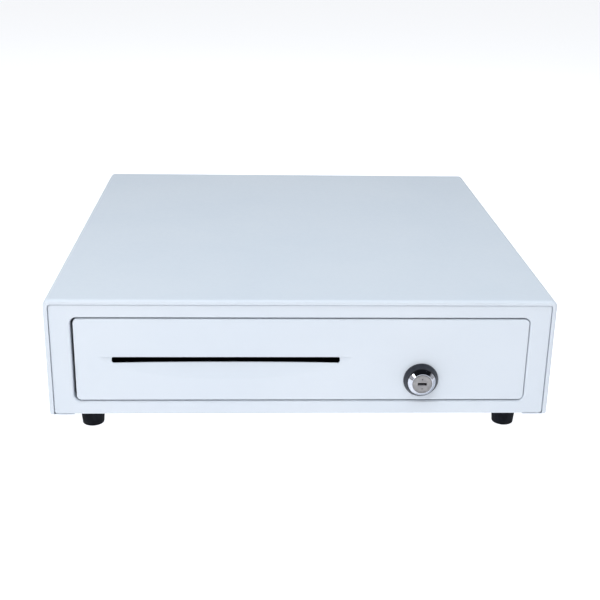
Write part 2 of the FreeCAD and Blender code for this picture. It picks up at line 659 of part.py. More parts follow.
def slide_side(name, side):
    middle = base + D.rail_height
    web_in = D.rail_outside - D.rail_sheet
    groove = D.rail_half_height - D.rail_flange
    lip_in = D.rail_tip + 1
    upper = [(D.rail_tip, D.rail_half_height), (D.rail_tip, groove - D.rail_lip),
             (lip_in, groove - D.rail_lip), (lip_in, groove), (web_in, groove)]
    lower = [(across, -rise) for across, rise in reversed(upper)]
    outline = [(D.rail_outside, -D.rail_half_height), (D.rail_outside, D.rail_half_height)]
    outline = [(x, middle + z) for x, z in outline + upper + lower]
    outer = new_body(f"outer_rail_{name}")
    extrude(outer, "XZ_Plane", (D.rail_front, D.rail_rear), [mirrored(outline, side)])
    extrude(outer, "YZ_Plane", (side * (web_in - 1), side * (D.rail_outside + 1)),
            [Circle(y, middle, D.rivet_hole) for y in RIVET_RAIL_Y], remove=True)

    tray_side = D.tray_width / 2
    inner_web = tray_side + D.rail_sheet
    half_in = D.inner_rail_half
    tip = D.inner_rail_tip
    upper = [(tray_side, half_in), (tip - D.inner_lip_width, half_in),
             (tip - D.inner_lip_width, half_in + D.rail_lip), (tip, half_in + D.rail_lip),
             (tip, half_in - D.rail_flange), (inner_web, half_in - D.rail_flange)]
    lower = [(across, -rise) for across, rise in reversed(upper)]
    outline = [(x, middle + z) for x, z in upper + lower]
    inner = new_body(f"inner_rail_{name}")
    extrude(inner, "XZ_Plane", (D.inner_rail_front, D.inner_rail_rear),
            [mirrored(outline, side)])
    extrude(inner, "YZ_Plane", (side * (tray_side - 1), side * (inner_web + 0.5)),
            [Circle(y, middle, D.rivet_hole) for y in RIVET_TRAY_Y], remove=True)


def ball_cage(name, side):
    middle = base + D.rail_height
    web_in = D.cage_outside - D.cage_sheet
    rise = D.ball_rise + D.cage_sheet / 2
    fall = D.ball_rise - D.cage_sheet / 2
    outline = [(D.cage_outside, -rise), (D.cage_outside, rise), (D.cage_tip, rise),
               (D.cage_tip, fall), (web_in, fall), (web_in, -fall), (D.cage_tip, -fall),
               (D.cage_tip, -rise)]
    outline = [(x, middle + z) for x, z in outline]
    body = new_body(f"ball_cage_{name}")
    cage_rear = D.cage_front + D.cage_length
    extrude(body, "XZ_Plane", (D.cage_front, cage_rear), [mirrored(outline, side)])
    margin = 6
    pitch = (D.cage_length - 2 * margin) / (BALLS_PER_ROW - 1)
    places = [D.cage_front + margin + pitch * index for index in range(BALLS_PER_ROW)]
    extrude(body, "XY_Plane", (middle - rise - 1, middle + rise + 1),
            [Circle(side * D.ball_across, y, D.ball_radius + 0.12) for y in places],
            remove=True)
    balls = []
    for y in places:
        for up in (-1, 1):
            ball = doc.addObject("Part::Sphere", f"ball_{name}")
            bind(ball, "Radius", D.ball_radius)
            bind(ball, "Placement.Base.x", side * D.ball_across)
            bind(ball, "Placement.Base.y", y)
            bind(ball, "Placement.Base.z", middle + up * D.ball_rise)
            balls.append(ball)
    as_node(f"rail_balls_{name}", combine("Part::Compound", f"balls_{name}", balls))


def rail_bracket(name, side):
    body = new_body(f"rail_bracket_{name}")
    low = base + D.cover_sheet + D.base_sheet
    high = base + D.bracket_high
    wall = D.bracket_sheet
    inside = D.rail_outside
    outline = [(inside, low), (inside + 14.5, low), (inside + 14.5, low + wall),
               (inside + wall, low + wall), (inside + wall, high - wall),
               (inside + 8.5, high - wall), (inside + 8.5, high), (inside, high)]
    extrude(body, "XZ_Plane", (D.rail_front + 6, D.rail_rear), [mirrored(outline, side)])
    extrude(body, "YZ_Plane", (side * (inside - 1), side * (inside + wall + 1)),
            [Circle(y, base + D.rail_height, D.rivet_hole) for y in RIVET_RAIL_Y], remove=True)


def rail_rivets():
    """Rivets that hold the outer rails to their brackets and the inner rails to the tray."""
    middle = base + D.rail_height
    fixed = new_body("bracket_rivets")
    moving = new_body("tray_rivets")
    tray_in = D.tray_width / 2 - D.tray_sheet
    for _, side in SIDES:
        outside = D.rail_outside + D.bracket_sheet
        extrude(fixed, "YZ_Plane", (side * outside, side * (outside + 1.4)),
                [Circle(y, middle, D.rivet_head) for y in RIVET_RAIL_Y])
        extrude(fixed, "YZ_Plane", (side * (D.rail_outside - D.rail_sheet), side * outside),
                [Circle(y, middle, D.rivet_radius) for y in RIVET_RAIL_Y])
        extrude(moving, "YZ_Plane", (side * (tray_in - 1.2), side * tray_in),
                [Circle(y, middle, D.rivet_head) for y in RIVET_TRAY_Y])
        extrude(moving, "YZ_Plane", (side * tray_in, side * (tray_in + 2 * D.tray_sheet)),
                [Circle(y, middle, D.rivet_radius) for y in RIVET_TRAY_Y])


def rail_stops():
    body = new_body("rail_stops")
    middle = base + D.rail_height
    stop_front = D.inner_rail_rear + 0.5
    for _, side in SIDES:
        extrude(body, "XZ_Plane", (stop_front, stop_front + 10),
                [rectangle((side * (D.rail_tip + 1.5), side * (D.rail_outside - D.rail_sheet)),
                           (middle - 9, middle + 9))])
    round_edges(body, 1.0, y=(stop_front,))


# ----------------------------------------------------------------------------- drawer

def scoop_ellipse(name, grow, level):
    """The scoop's ellipse in the horizontal plane at a level, grown by a wall thickness."""
    ring = doc.addObject("Part::Ellipse", name)
    bind(ring, "MajorRadius", D.scoop_half_width + 2.5 * grow)
    bind(ring, "MinorRadius", D.scoop_half_height * D.scoop_slope + grow)
    bind(ring, "Placement.Base.x", D.scoop_centre)
    shift = (level - base - D.scoop_ledge - D.scoop_centre_rise) * D.scoop_slope
    bind(ring, "Placement.Base.y", face + shift)
    bind(ring, "Placement.Base.z", level)
    return ring


def scoop_prism(name, grow, level):
    """The ellipse drawn down along the scoop's slope, so that it runs out at the face."""
    ring = scoop_ellipse(name + "_ring", grow, level)
    prism = doc.addObject("Part::Extrusion", name)
    prism.Base = ring
    prism.DirMode = "Custom"
    prism.Dir = FreeCAD.Vector(0, 0, -1)
    bind(prism, "Dir.y", -D.scoop_slope)
    bind(prism, "LengthFwd", D.scoop_run)
    prism.Solid = True
    return prism


def drawer_front():
    body = doc.addObject("PartDesign::Body", "front_pan")
    body.Label = "front_pan"
    wall = D.panel_sheet
    across = (D.front_shift - D.front_width / 2, D.front_shift + D.front_width / 2)
    up = (base + D.front_low, base + D.front_high)
    back = face + D.front_depth
    rounded_block(body, across, (face, back), up, D.front_corner)
    round_edges(body, D.front_edge, y=(face,))
    inner = rectangle((across[0] + wall, across[1] - wall), (up[0] + wall, up[1] - wall))
    extrude(body, "XZ_Plane", (face + wall, back + 1), [inner], remove=True)
    lock_middle = Circle(D.lock_across, base + D.lock_high, D.barrel_radius + 0.2)
    extrude(body, "XZ_Plane", (face - 1, face + wall + 1), [lock_middle], remove=True)

    ledge = base + D.scoop_ledge
    bulge = scoop_prism("scoop_bulge", wall, ledge + wall)
    behind = box("behind_face", (D.scoop_centre - 150, D.scoop_centre + 150),
                 (face + 0.5, face + 12), (base + 20, ledge + 5))
    backing = combine("Part::MultiCommon", "scoop_backing", [bulge, behind])
    pan = combine("Part::MultiFuse", "front_with_backing", [body, backing])
    dish = scoop_prism("scoop_dish", 0, ledge)
    slot_high = ledge - D.slot_drop
    slot_middle = D.scoop_centre + 0.5
    slot_across = (slot_middle - D.slot_width / 2, slot_middle + D.slot_width / 2)
    slot = doc.addObject("PartDesign::Body", "slot_cutter")
    slot.Label = "slot_cutter"
    rounded_block(slot, slot_across, (face - 2, face + 9),
                  (slot_high - D.slot_height, slot_high), D.slot_corner)
    tools = combine("Part::MultiFuse", "front_cutters", [dish, slot])
    as_node("drawer_front", combine("Part::Cut", "drawer_front", [pan, tools]))


def drawer_tray():
    body = new_body("drawer_tray")
    wall = D.tray_sheet
    out = D.tray_width / 2
    inside = out - wall
    floor = base + D.tray_floor
    high = base + D.tray_high
    front_wall = face + D.panel_sheet
    extrude(body, "XY_Plane", (floor, high), [rectangle((-out, out), (front_wall, D.tray_rear))])
    round_edges(body, 1.5, x=(-out, out), z=(floor,))
    extrude(body, "XY_Plane", (floor + wall, high + 1),
            [rectangle((-inside, inside), (front_wall + wall, D.bay_wall)),
             rectangle((-inside, inside), (D.bay_wall + wall, D.tray_rear - wall))],
            remove=True)
    chute_left, chute_right = chute_across(2)
    extrude(body, "XZ_Plane", (D.bay_wall - 1, D.bay_wall + wall + 1),
            [rectangle((chute_left, chute_right), (floor + wall, base + D.bay_window_high))],
            remove=True)
    window_low = base + D.front_window_low
    extrude(body, "XZ_Plane", (front_wall - 1, front_wall + wall + 1),
            [rectangle((D.scoop_centre - 105, D.scoop_centre + 108), (window_low, high + 1)),
             Circle(D.lock_across, base + D.lock_high, D.barrel_radius + 0.2)], remove=True)
    # the cam's tip sweeps through the floor on its way down, so the slot reaches to its right
    slot_rear = face + D.barrel_depth + 4.8
    cam_slot = rectangle((D.lock_across - D.cam_slot_left, D.lock_across + D.cam_slot_right),
                         (slot_rear - D.cam_slot_depth, slot_rear))
    extrude(body, "XY_Plane", (floor - 1, floor + wall + 0.5), [cam_slot], remove=True)
    for _, side in SIDES:
        extrude(body, "YZ_Plane", (side * (inside - 1), side * (out + 1)),
                [Circle(y, base + D.rail_height, D.rivet_hole) for y in RIVET_TRAY_Y], remove=True)


def chute_across(margin):
    middle = D.scoop_centre + 0.5
    reach = D.slot_width / 2 + 2.5 + margin
    return middle - reach, middle + reach


def media_chute():
    """A flat tube from the slot down through the bay wall to the space under the till."""
    body = new_body("media_chute")
    left, right = chute_across(1)
    mouth = face + 5.2
    high = base + D.scoop_ledge
    low = base + D.tray_floor + D.tray_sheet
    lower = [(mouth, high - 7), (mouth + 11, high - 8.4), (mouth + 28.5, low + 0.2),
             (mouth + 42, low + 0.2)]
    upper = [(mouth + 42, low + 7.6), (mouth + 33.5, low + 7.6), (mouth + 15.5, high + 0.2),
             (mouth, high + 1.6)]
    extrude(body, "YZ_Plane", (left, right), [lower + upper])
    wall = D.chute_sheet
    lower_in = [(mouth - 1, high - 6), (mouth + 11.6, high - 7.4), (mouth + 29.1, low + 1.2),
                (mouth + 43, low + 1.2)]
    upper_in = [(mouth + 43, low + 6.6), (mouth + 32.9, low + 6.6),
                (mouth + 14.9, high - 0.8), (mouth - 1, high + 0.6)]
    extrude(body, "YZ_Plane", (left + wall, right - wall), [lower_in + upper_in], remove=True)


def striker():
    """A bracket on the tray's rear wall that carries the pin the latch closes on."""
    body = new_body("striker")
    low = base + D.striker_bottom
    high = base + D.striker_top
    plate = D.striker_sheet
    ear = D.striker_half / 2
    extrude(body, "XZ_Plane", (D.tray_rear, D.tray_rear + plate),
            [rectangle((-D.striker_half, D.striker_half), (low, high))])
    for level in (low, high - plate):
        extrude(body, "XY_Plane", (level, level + plate),
                [rectangle((-ear, ear), (D.tray_rear, D.striker_y + 6))])
    extrude(body, "XY_Plane", (low, high), [Circle(0, D.striker_y, D.striker_radius)])


# ------------------------------------------------------------------------------- till

NOTE_COUNT = 4


def till_cells(count, front_edge, rear_edge):
    """The plan rectangles of a row of compartments between the till's side walls."""
    inside = D.till_width - 2 * D.till_wall
    cell = (inside - (count - 1) * D.till_wall) / count
    cells = []
    for index in range(count):
        left = -inside / 2 + index * (cell + D.till_wall)
        cells.append(rectangle((left, left + cell), (front_edge, rear_edge)))
    return cells


def till():
    body = new_body("till")
    wide = D.till_width / 2
    rim = D.rim_width / 2
    low = base + D.till_low
    seat = base + D.tray_high
    high = seat + D.rim_sheet
    floor = low + D.till_wall
    extrude(body, "XY_Plane", (low, seat), [rectangle((-wide, wide), (D.till_front, D.till_rear))])
    round_edges(body, 4.0, x=(-wide, wide), y=(D.till_front, D.till_rear))
    rim_ends = (D.bay_wall + 0.2, D.tray_rear - 0.2)
    extrude(body, "XY_Plane", (seat, high), [rectangle((-rim, rim), rim_ends)])
    round_edges(body, 2.0, x=(-rim, rim), y=rim_ends)
    rear_in = D.till_rear - D.till_wall
    cells = till_cells(NOTE_COUNT, D.note_front, rear_in)
    extrude(body, "XY_Plane", (floor, high + 1), cells, remove=True)
    coin_cell = till_cells(1, D.till_front + D.till_wall, D.coin_rear)
    extrude(body, "XY_Plane", (floor, high + 1), coin_cell, remove=True)
    round_edges(body, 3.0, z=(floor,))
    round_edges(body, 0.8, z=(high,))
    # a bore through the dividers holds the clip rod, and stops short of the outer faces
    rod = Circle(D.clip_axis_y, base + D.clip_axis_high, D.clip_rod_radius + 0.1)
    extrude(body, "YZ_Plane", (-wide + 1.2, wide - 1.2), [rod], remove=True)


CUP_COLUMNS = 4
CUP_ROWS = 2


def coin_cups():
    inside = D.till_width - 2 * D.till_wall
    depth = D.coin_rear - D.till_front - D.till_wall
    pitch_x = inside / CUP_COLUMNS
    pitch_y = depth / CUP_ROWS
    low = base + D.till_low + D.till_wall + 0.2
    for row in range(CUP_ROWS):
        for column in range(CUP_COLUMNS):
            number = row * CUP_COLUMNS + column + 1
            left = -inside / 2 + column * pitch_x + D.cup_gap / 2
            near = D.till_front + D.till_wall + row * pitch_y + D.cup_gap / 2
            coin_cup(f"coin_cup_{number}", (left, left + pitch_x - D.cup_gap),
                     (near, near + pitch_y - D.cup_gap), low)


def coin_cup(label, across, along, low):
    """A small tub with a deep curve at front and back, so that coins slide out of it."""
    body = new_body(label)
    wall = D.cup_wall
    high = low + D.cup_height
    extrude(body, "XY_Plane", (low, high), [rectangle(across, along)])
    round_edges(body, D.cup_corner, x=across, y=along)
    round_edges(body, D.cup_foot, z=(low,))
    inner_along = (along[0] + wall, along[1] - wall)
    floor = low + wall
    inner_across = (across[0] + wall, across[1] - wall)
    bend_middle = floor + D.cup_bend
    near, far = inner_along
    bends = (near + D.cup_bend, far - D.cup_bend)
    hollow = rectangle(inner_across, inner_along)
    extrude(body, "XY_Plane", (bend_middle, high + 1), [hollow], remove=True)
    for bend in bends:
        extrude(body, "YZ_Plane", inner_across, [Circle(bend, bend_middle, D.cup_bend)],
                remove=True)
    extrude(body, "XY_Plane", (floor, high), [rectangle(inner_across, bends)], remove=True)


def clip_rod():
    wide = D.till_width / 2 - 1.5
    body = new_body("clip_rod")
    middle = Circle(D.clip_axis_y, base + D.clip_axis_high, D.clip_rod_radius)
    extrude(body, "YZ_Plane", (-wide, wide), [middle])


def clip_middles():
    inside = D.till_width - 2 * D.till_wall
    pitch = (inside + D.till_wall) / NOTE_COUNT
    return [(index - (NOTE_COUNT - 1) / 2) * pitch for index in range(NOTE_COUNT)]


def bill_clips():
    axis_z = base + D.clip_axis_high
    foot_z = base + D.till_low + D.till_wall + 0.6 + D.clip_foot
    foot_y = D.clip_axis_y - D.clip_reach
    for number, middle in enumerate(clip_middles(), start=1):
        body = new_body(f"bill_clip_{number}")
        across = (middle - D.clip_width / 2, middle + D.clip_width / 2)
        extrude(body, "YZ_Plane", across, [Circle(D.clip_axis_y, axis_z, D.clip_hub_radius)])
        arm = [(D.clip_axis_y, axis_z + 4.1), (D.clip_axis_y, axis_z + 1.5),
               (foot_y + 4, foot_z + 1.5), (foot_y - 12, foot_z + 7), (foot_y - 12, foot_z + 9.4),
               (foot_y + 4, foot_z + 4)]
        arm_across = (across[0] + 1.5, across[1] - 1.5)
        extrude(body, "YZ_Plane", arm_across, [arm])
        extrude(body, "YZ_Plane", arm_across, [Circle(foot_y + 2, foot_z, D.clip_foot)])
        extrude(body, "YZ_Plane", across,
                [Circle(D.clip_axis_y, axis_z, D.clip_rod_radius + 0.06)], remove=True)


def clip_springs():
    body = new_body("clip_springs")
    for middle in clip_middles():
        start = middle + D.clip_width / 2 + 0.6
        extrude(body, "YZ_Plane", (start, start + D.clip_spring_length),
                [Circle(D.clip_axis_y, base + D.clip_axis_high, radius)
                 for radius in (D.clip_spring_radius, D.clip_rod_radius + 0.2)])


# ------------------------------------------------------------------------------- lock

def lock_place():
    return D.lock_across, face, base + D.lock_high


def lock_collar():
    hole = D.barrel_radius + 0.1
    skirt = D.collar_radius - 0.15
    crown = D.collar_radius - 2.1
    profile = [(hole, 0), (D.collar_radius, 0), (skirt, 1.2), (crown, D.collar_height),
               (hole, D.collar_height)]
    revolve("lock_collar", profile, lock_place())


def lock_barrel():
    bore = D.plug_radius + 0.05
    seat = D.collar_height
    profile = [(bore, -D.barrel_depth), (D.barrel_radius, -D.barrel_depth),
               (D.barrel_radius, seat), (D.ring_radius - 0.3, seat),
               (D.ring_radius, seat + 0.3), (D.ring_radius, seat + 0.9),
               (D.ring_radius - 0.4, seat + 1.4), (bore + 0.75, D.ring_proud - 0.4),
               (bore + 0.45, D.ring_proud - 0.1), (bore, D.ring_proud - 0.1)]
    revolve("lock_barrel", profile, lock_place())


def lock_plug():
    body = revolve("lock_plug", [(0, -D.barrel_depth), (D.plug_radius, -D.barrel_depth),
                                 (D.plug_radius, D.ring_proud - 0.3),
                                 (D.plug_radius - 0.3, D.ring_proud), (0, D.ring_proud)],
                   lock_place())
    # the key enters a level slot; the drive square behind the barrel turns the cam
    keyway = rectangle((-D.key_half, D.key_half), (-D.key_slit, D.key_slit))
    extrude(body, "XY_Plane", (D.ring_proud - D.key_depth, D.ring_proud + 1), [keyway],
            remove=True)
    square = rectangle((-D.drive_half, D.drive_half), (-D.drive_half, D.drive_half))
    extrude(body, "XY_Plane", (-D.barrel_depth - D.cam_sheet - 0.4, -D.barrel_depth), [square])
    extrude(body, "XY_Plane", (-D.barrel_depth - 3, 6 - D.barrel_depth),
            [Circle(0, 0, D.rivet_hole)], remove=True)


def lock_cam():
    """The cam lies to the right when unlocked and turns down behind the bezel's lip."""
    body = new_body("lock_cam")
    near = face + D.barrel_depth + 0.3
    z = base + D.lock_high
    hole = D.drive_half + 0.1
    arm = rectangle((D.lock_across, D.lock_across + D.cam_reach),
                    (z - D.cam_width / 2, z + D.cam_width / 2))
    extrude(body, "XZ_Plane", (near, near + D.cam_sheet), [Circle(D.lock_across, z, 8.5)])
    extrude(body, "XZ_Plane", (near, near + D.cam_sheet), [arm])
    round_edges(body, 3.0, x=(D.lock_across + D.cam_reach,),
                z=(z - D.cam_width / 2, z + D.cam_width / 2))
    extrude(body, "XZ_Plane", (near - 1, near + D.cam_sheet + 1),
            [rectangle((D.lock_across - hole, D.lock_across + hole), (z - hole, z + hole))],
            remove=True)


def lock_small_parts():
    nut = new_body("lock_nut")
    z = base + D.lock_high
    near = face + D.panel_sheet + D.tray_sheet
    corner = D.nut_across / math.sqrt(3)
    hexagon = [(D.lock_across + corner * math.cos(math.radians(60 * turn)),
                z + corner * math.sin(math.radians(60 * turn))) for turn in range(6)]
    extrude(nut, "XZ_Plane", (near, near + D.nut_height), [hexagon])
    extrude(nut, "XZ_Plane", (near - 1, near + D.nut_height + 1),
            [Circle(D.lock_across, z, D.barrel_radius + 0.05)], remove=True)
    seat = face + D.barrel_depth + D.cam_sheet + 0.5
    screws(new_body("cam_screw"), "XZ_Plane", [(D.lock_across, z)], seat, seat + 2.2, seat - 7,
           5.2, D.rivet_radius)


# ------------------------------------------------------------------------------ latch

def latch_bracket():
    """A bridge over the base that carries the latch, the solenoid and the switch."""
    body = new_body("latch_bracket")
    low = base + D.cover_sheet + D.base_sheet
    shelf = base + D.shelf_low
    high = shelf + D.shelf_sheet
    wall = D.shelf_sheet
    inside = D.shelf_half
    outside = inside + D.shelf_foot
    profile = [(-outside, low), (-inside, low), (-inside, shelf), (inside, shelf),
               (inside, low), (outside, low), (outside, low + wall),
               (inside + wall, low + wall), (inside + wall, high), (-inside - wall, high),
               (-inside - wall, low + wall), (-outside, low + wall)]
    extrude(body, "XZ_Plane", (D.shelf_front, D.shelf_rear), [profile])
    extrude(body, "XY_Plane", (shelf - 1, high + 1),
            [Circle(D.pivot_across, D.pivot_y, D.pivot_radius)], remove=True)


def latch_pivot():
    shelf = base + D.shelf_low
    hook = base + D.hook_low
    top_of_hook = hook + D.hook_sheet
    post = D.pivot_radius
    profile = [(0, shelf), (post, shelf), (post, shelf + D.shelf_sheet),
               (post + 2, shelf + D.shelf_sheet), (post + 2, hook - 0.15), (post, hook - 0.15),
               (post, top_of_hook + 0.15), (post + 1.8, top_of_hook + 0.15),
               (post + 1.8, top_of_hook + 1.2), (post - 0.5, top_of_hook + 2.2),
               (0, top_of_hook + 2.2)]
    revolve("latch_pivot", profile, (D.pivot_across, D.pivot_y, 0),
            FreeCAD.Rotation())


def latch_hook():
    """The hook is drawn engaged around its pivot, then turned back to its released place."""
    body = new_body("latch_hook")
    low = base + D.hook_low
    span = (low, low + D.hook_sheet)
    to_pin_x = -D.pivot_across
    to_pin_y = D.striker_y - D.pivot_y
    grip = D.striker_radius + 1
    claw = [(to_pin_x - grip, to_pin_y - grip - 4), (to_pin_x + grip + 7, to_pin_y - grip - 4),
            (to_pin_x + grip + 7, 4), (to_pin_x + grip, 4),
            (to_pin_x + grip, to_pin_y - grip + 0.5), (to_pin_x - grip, to_pin_y - grip + 0.5)]
    hub = 4.5
    extrude(body, "XY_Plane", span, [Circle(0, 0, D.pivot_radius + hub)])
    extrude(body, "XY_Plane", span, [claw])
    extrude(body, "XY_Plane", span, [rectangle((-hub, hub), (0, D.tail_reach + 5))])
    slot = rectangle((-2, 2), (D.tail_reach - 2.6, D.tail_reach + 2.2))
    cut = (low - 1, low + D.hook_sheet + 1)
    extrude(body, "XY_Plane", cut, [slot, Circle(0, 0, D.pivot_radius + 0.05)], remove=True)
    turn = FreeCAD.Rotation(FreeCAD.Vector(0, 0, 1), number_of(D.latch_angle))
    body.Placement = FreeCAD.Placement(FreeCAD.Vector(0, 0, 0), turn)
    bind(body, "Placement.Base.x", D.pivot_across)
    bind(body, "Placement.Base.y", D.pivot_y)


def solenoid():
    pin_y = D.pivot_y + D.tail_reach - 0.4
    z = base + D.hook_low + D.hook_sheet / 2
    shelf = base + D.shelf_low + D.shelf_sheet
    left, right = D.solenoid_left, D.solenoid_right
    wall = D.solenoid_sheet
    coil_radius = z - shelf - wall - 0.2
    frame = new_body("solenoid_frame")
    profile = [(left, shelf), (right, shelf), (right, z + 11), (right - wall, z + 11),
               (right - wall, shelf + wall), (left + wall, shelf + wall), (left + wall, z + 11),
               (left, z + 11)]
    bore = Circle(pin_y, z, D.plunger_bore)
    extrude(frame, "XZ_Plane", (pin_y - D.solenoid_half, pin_y + D.solenoid_half), [profile])
    extrude(frame, "YZ_Plane", (right - wall - 1, right + 1), [bore], remove=True)
    coil = new_body("solenoid_coil")
    extrude(coil, "YZ_Plane", (left + wall + 0.2, right - wall - 0.2),
            [Circle(pin_y, z, coil_radius)])
    extrude(coil, "YZ_Plane", (left + wall + 4, right), [bore], remove=True)
    travel = number_of(D.tail_reach) * math.radians(number_of(D.latch_angle))
    pin_x = D.pivot_across - travel
    plunger = new_body("solenoid_plunger")
    extrude(plunger, "YZ_Plane", (left + wall + 11, pin_x + 5),
            [Circle(pin_y, z, D.plunger_radius)])
    fork = D.hook_sheet / 2 + 0.4
    extrude(plunger, "XZ_Plane", (pin_y - 6, pin_y + 6),
            [rectangle((pin_x - 8, pin_x + 6), (z - fork, z + fork))], remove=True)
    extrude(plunger, "XY_Plane", (z - 6, z + 6), [Circle(pin_x, pin_y, D.plunger_pin + 0.05)],
            remove=True)
    pin = new_body("plunger_pin")
    extrude(pin, "XY_Plane", (z - 5, z + 5), [Circle(pin_x, pin_y, D.plunger_pin)])


def spring_guide():
    """The rod on the rear panel that keeps the kick spring straight."""
    flange = 2
    revolve("spring_guide", [(0, 0), (D.guide_flange, 0), (D.guide_flange, flange),
                             (D.guide_radius, flange), (D.guide_radius, D.guide_length - 2),
                             (0, D.guide_length)],
            (D.spring_across, panel_inside(), base + D.spring_height))


def panel_inside():
    """The rear panel's inner face."""
    return rear - D.cover_sheet - D.sheet_play - D.base_sheet


def kick_spring():
    """The spring that starts the drawer on its way, from the guide's flange to the tray."""
    wire = number_of(D.spring_wire)
    start = number_of(panel_inside()) - 2 - wire - 0.2
    length = start - number_of(D.tray_rear) - wire - 0.2
    helix = Part.makeHelix(length / number_of(D.spring_turns), length, number_of(D.spring_radius))
    ring = Part.Circle(FreeCAD.Vector(number_of(D.spring_radius), 0, 0),
                       FreeCAD.Vector(0, 1, 0), wire)
    section = Part.Wire([ring.toShape()])
    spring = doc.addObject("Part::Feature", "kick_spring")
    spring.Shape = Part.Wire(helix.Edges).makePipeShell([section], True, True)
    place = FreeCAD.Vector(number_of(D.spring_across), start,
                           number_of(base + D.spring_height))
    spring.Placement = FreeCAD.Placement(place, FORWARD)
    as_node("kick_spring", spring)


def drawer_switch():
    """A small switch on the latch shelf, and the lever that the tray holds back."""
    body = new_body("switch_body")
    shelf = base + D.shelf_low + D.shelf_sheet
    left, right = D.switch_left, D.switch_right
    near = D.switch_front
    rear_face = near + D.switch_depth
    pivot = (right - 1.8, near - 1.4)
    ear_top = shelf + 7.2
    extrude(body, "XZ_Plane", (near, rear_face),
            [rectangle((left, right), (shelf, shelf + D.switch_height))])
    round_edges(body, 0.8, x=(left, right), y=(near, rear_face))
    terminals = [rectangle((left + 2 + across, left + 4 + across), (shelf + 3, shelf + 4))
                 for across in (0, 7, 14)]
    extrude(body, "XZ_Plane", (rear_face, rear_face + 6), terminals)
    ear = rectangle((pivot[0] - 1.7, pivot[0] + 1.7), (pivot[1] - 1.7, near))
    extrude(body, "XY_Plane", (shelf + 2.8, ear_top), [ear])
    extrude(body, "XY_Plane", (shelf + 3.5, ear_top + 1),
            [Circle(pivot[0], pivot[1], D.lever_pin + 0.15)], remove=True)
    lever = new_body("switch_lever")
    tip = D.tray_rear + 0.5
    arm = [(pivot[0] + 0.3, pivot[1] - 0.2), (pivot[0] - 0.3, pivot[1] + 0.2),
           (left - 3.4, tip + 1.6), (left - 5, tip + 0.7), (left - 6.6, tip + 2),
           (left - 7, tip + 1.5), (left - 5, tip), (left - 3, tip + 1)]
    span = (ear_top + 0.4, ear_top + 3.8)
    extrude(lever, "XY_Plane", span, [arm])
    extrude(lever, "XY_Plane", span, [Circle(pivot[0], pivot[1], D.lever_hub)])
    extrude(lever, "XY_Plane", (ear_top - 3, ear_top + 1),
            [Circle(pivot[0], pivot[1], D.lever_pin)])


# ------------------------------------------------------------------------------ build

top_cover()
base_plate()
rear_panel()
cable_socket()
front_bezel()
rubber_feet()
case_screws()
for side_name, side_sign in SIDES:
    slide_side(side_name, side_sign)
    ball_cage(side_name, side_sign)
    rail_bracket(side_name, side_sign)
rail_rivets()
rail_stops()
drawer_front()
drawer_tray()
media_chute()
striker()
till()
coin_cups()
clip_rod()
bill_clips()
clip_springs()
lock_collar()
lock_barrel()
lock_plug()
lock_cam()
lock_small_parts()
latch_bracket()
latch_pivot()
latch_hook()
solenoid()
spring_guide()
kick_spring()
drawer_switch()
doc.recompute()

for item in doc.Objects:
    if "Invalid" in item.State or "Error" in item.State:
        raise ValueError(f"{item.Label} failed: {item.State}")
for label, item in nodes.items():
    if item.Shape.isNull() or not item.Shape.isValid() or not item.Shape.Solids:
        raise ValueError(f"{label} has no valid solid")

os.makedirs("parts", exist_ok=True)
for label, item in nodes.items():
    item.Shape.exportStep(f"parts/{label}.step")
    room = item.Shape.BoundBox
    print(f"{label:20s} {len(item.Shape.Solids):3d} solids {item.Shape.Volume:10.0f} mm3 "
          f"x {room.XMin:7.1f} {room.XMax:7.1f} y {room.YMin:7.1f} {room.YMax:7.1f} "
          f"z {room.ZMin:6.1f} {room.ZMax:6.1f}")
print(len(nodes), "nodes")
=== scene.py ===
import json
from math import cos, pi, radians, sin, tau

import bpy
from mathutils import Matrix, Vector


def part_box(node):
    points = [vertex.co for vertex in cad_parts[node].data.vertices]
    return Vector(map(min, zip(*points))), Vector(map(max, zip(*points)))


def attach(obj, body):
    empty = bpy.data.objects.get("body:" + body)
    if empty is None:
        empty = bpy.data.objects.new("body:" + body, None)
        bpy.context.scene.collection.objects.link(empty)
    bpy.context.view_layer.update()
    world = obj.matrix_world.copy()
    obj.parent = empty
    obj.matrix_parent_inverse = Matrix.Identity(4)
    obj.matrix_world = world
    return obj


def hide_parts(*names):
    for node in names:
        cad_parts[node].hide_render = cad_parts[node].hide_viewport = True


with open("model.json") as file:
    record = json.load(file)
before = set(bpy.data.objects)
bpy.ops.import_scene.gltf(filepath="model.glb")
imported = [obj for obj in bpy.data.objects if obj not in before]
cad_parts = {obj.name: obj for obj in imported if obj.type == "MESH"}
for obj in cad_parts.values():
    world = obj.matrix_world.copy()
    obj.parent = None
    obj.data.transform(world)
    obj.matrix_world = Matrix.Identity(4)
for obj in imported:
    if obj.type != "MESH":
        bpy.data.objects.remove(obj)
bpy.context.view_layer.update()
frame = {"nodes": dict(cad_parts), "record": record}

nodes = frame["nodes"]


def middle(node):
    low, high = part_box(node)
    return [(a + b) / 2 for a, b in zip(low, high)]


# ---------------------------------------------------------------- camera, floor and light

CAMERA_PLACE = (-0.0371, -0.9888, 0.4039)
CAMERA_YAW = radians(-2.565)
CAMERA_TILT = radians(69.683)
CAMERA_ROLL = radians(1.031)
CAMERA_LENS = 63.30
SENSOR_WIDTH = 36.0

FLOOR_SIZE = 30.0
FLOOR_LEVEL = -0.0002  # just under the feet, so that the two faces don't share a plane

WALL = (0.97, 0.98, 1.0, 1)
CEILING = (0.02, 0.022, 0.028, 1)
WALL_ENDS, CEILING_STARTS = 0.30, 0.50  # as sines of the elevation
WORLD_STRENGTH = 0.58

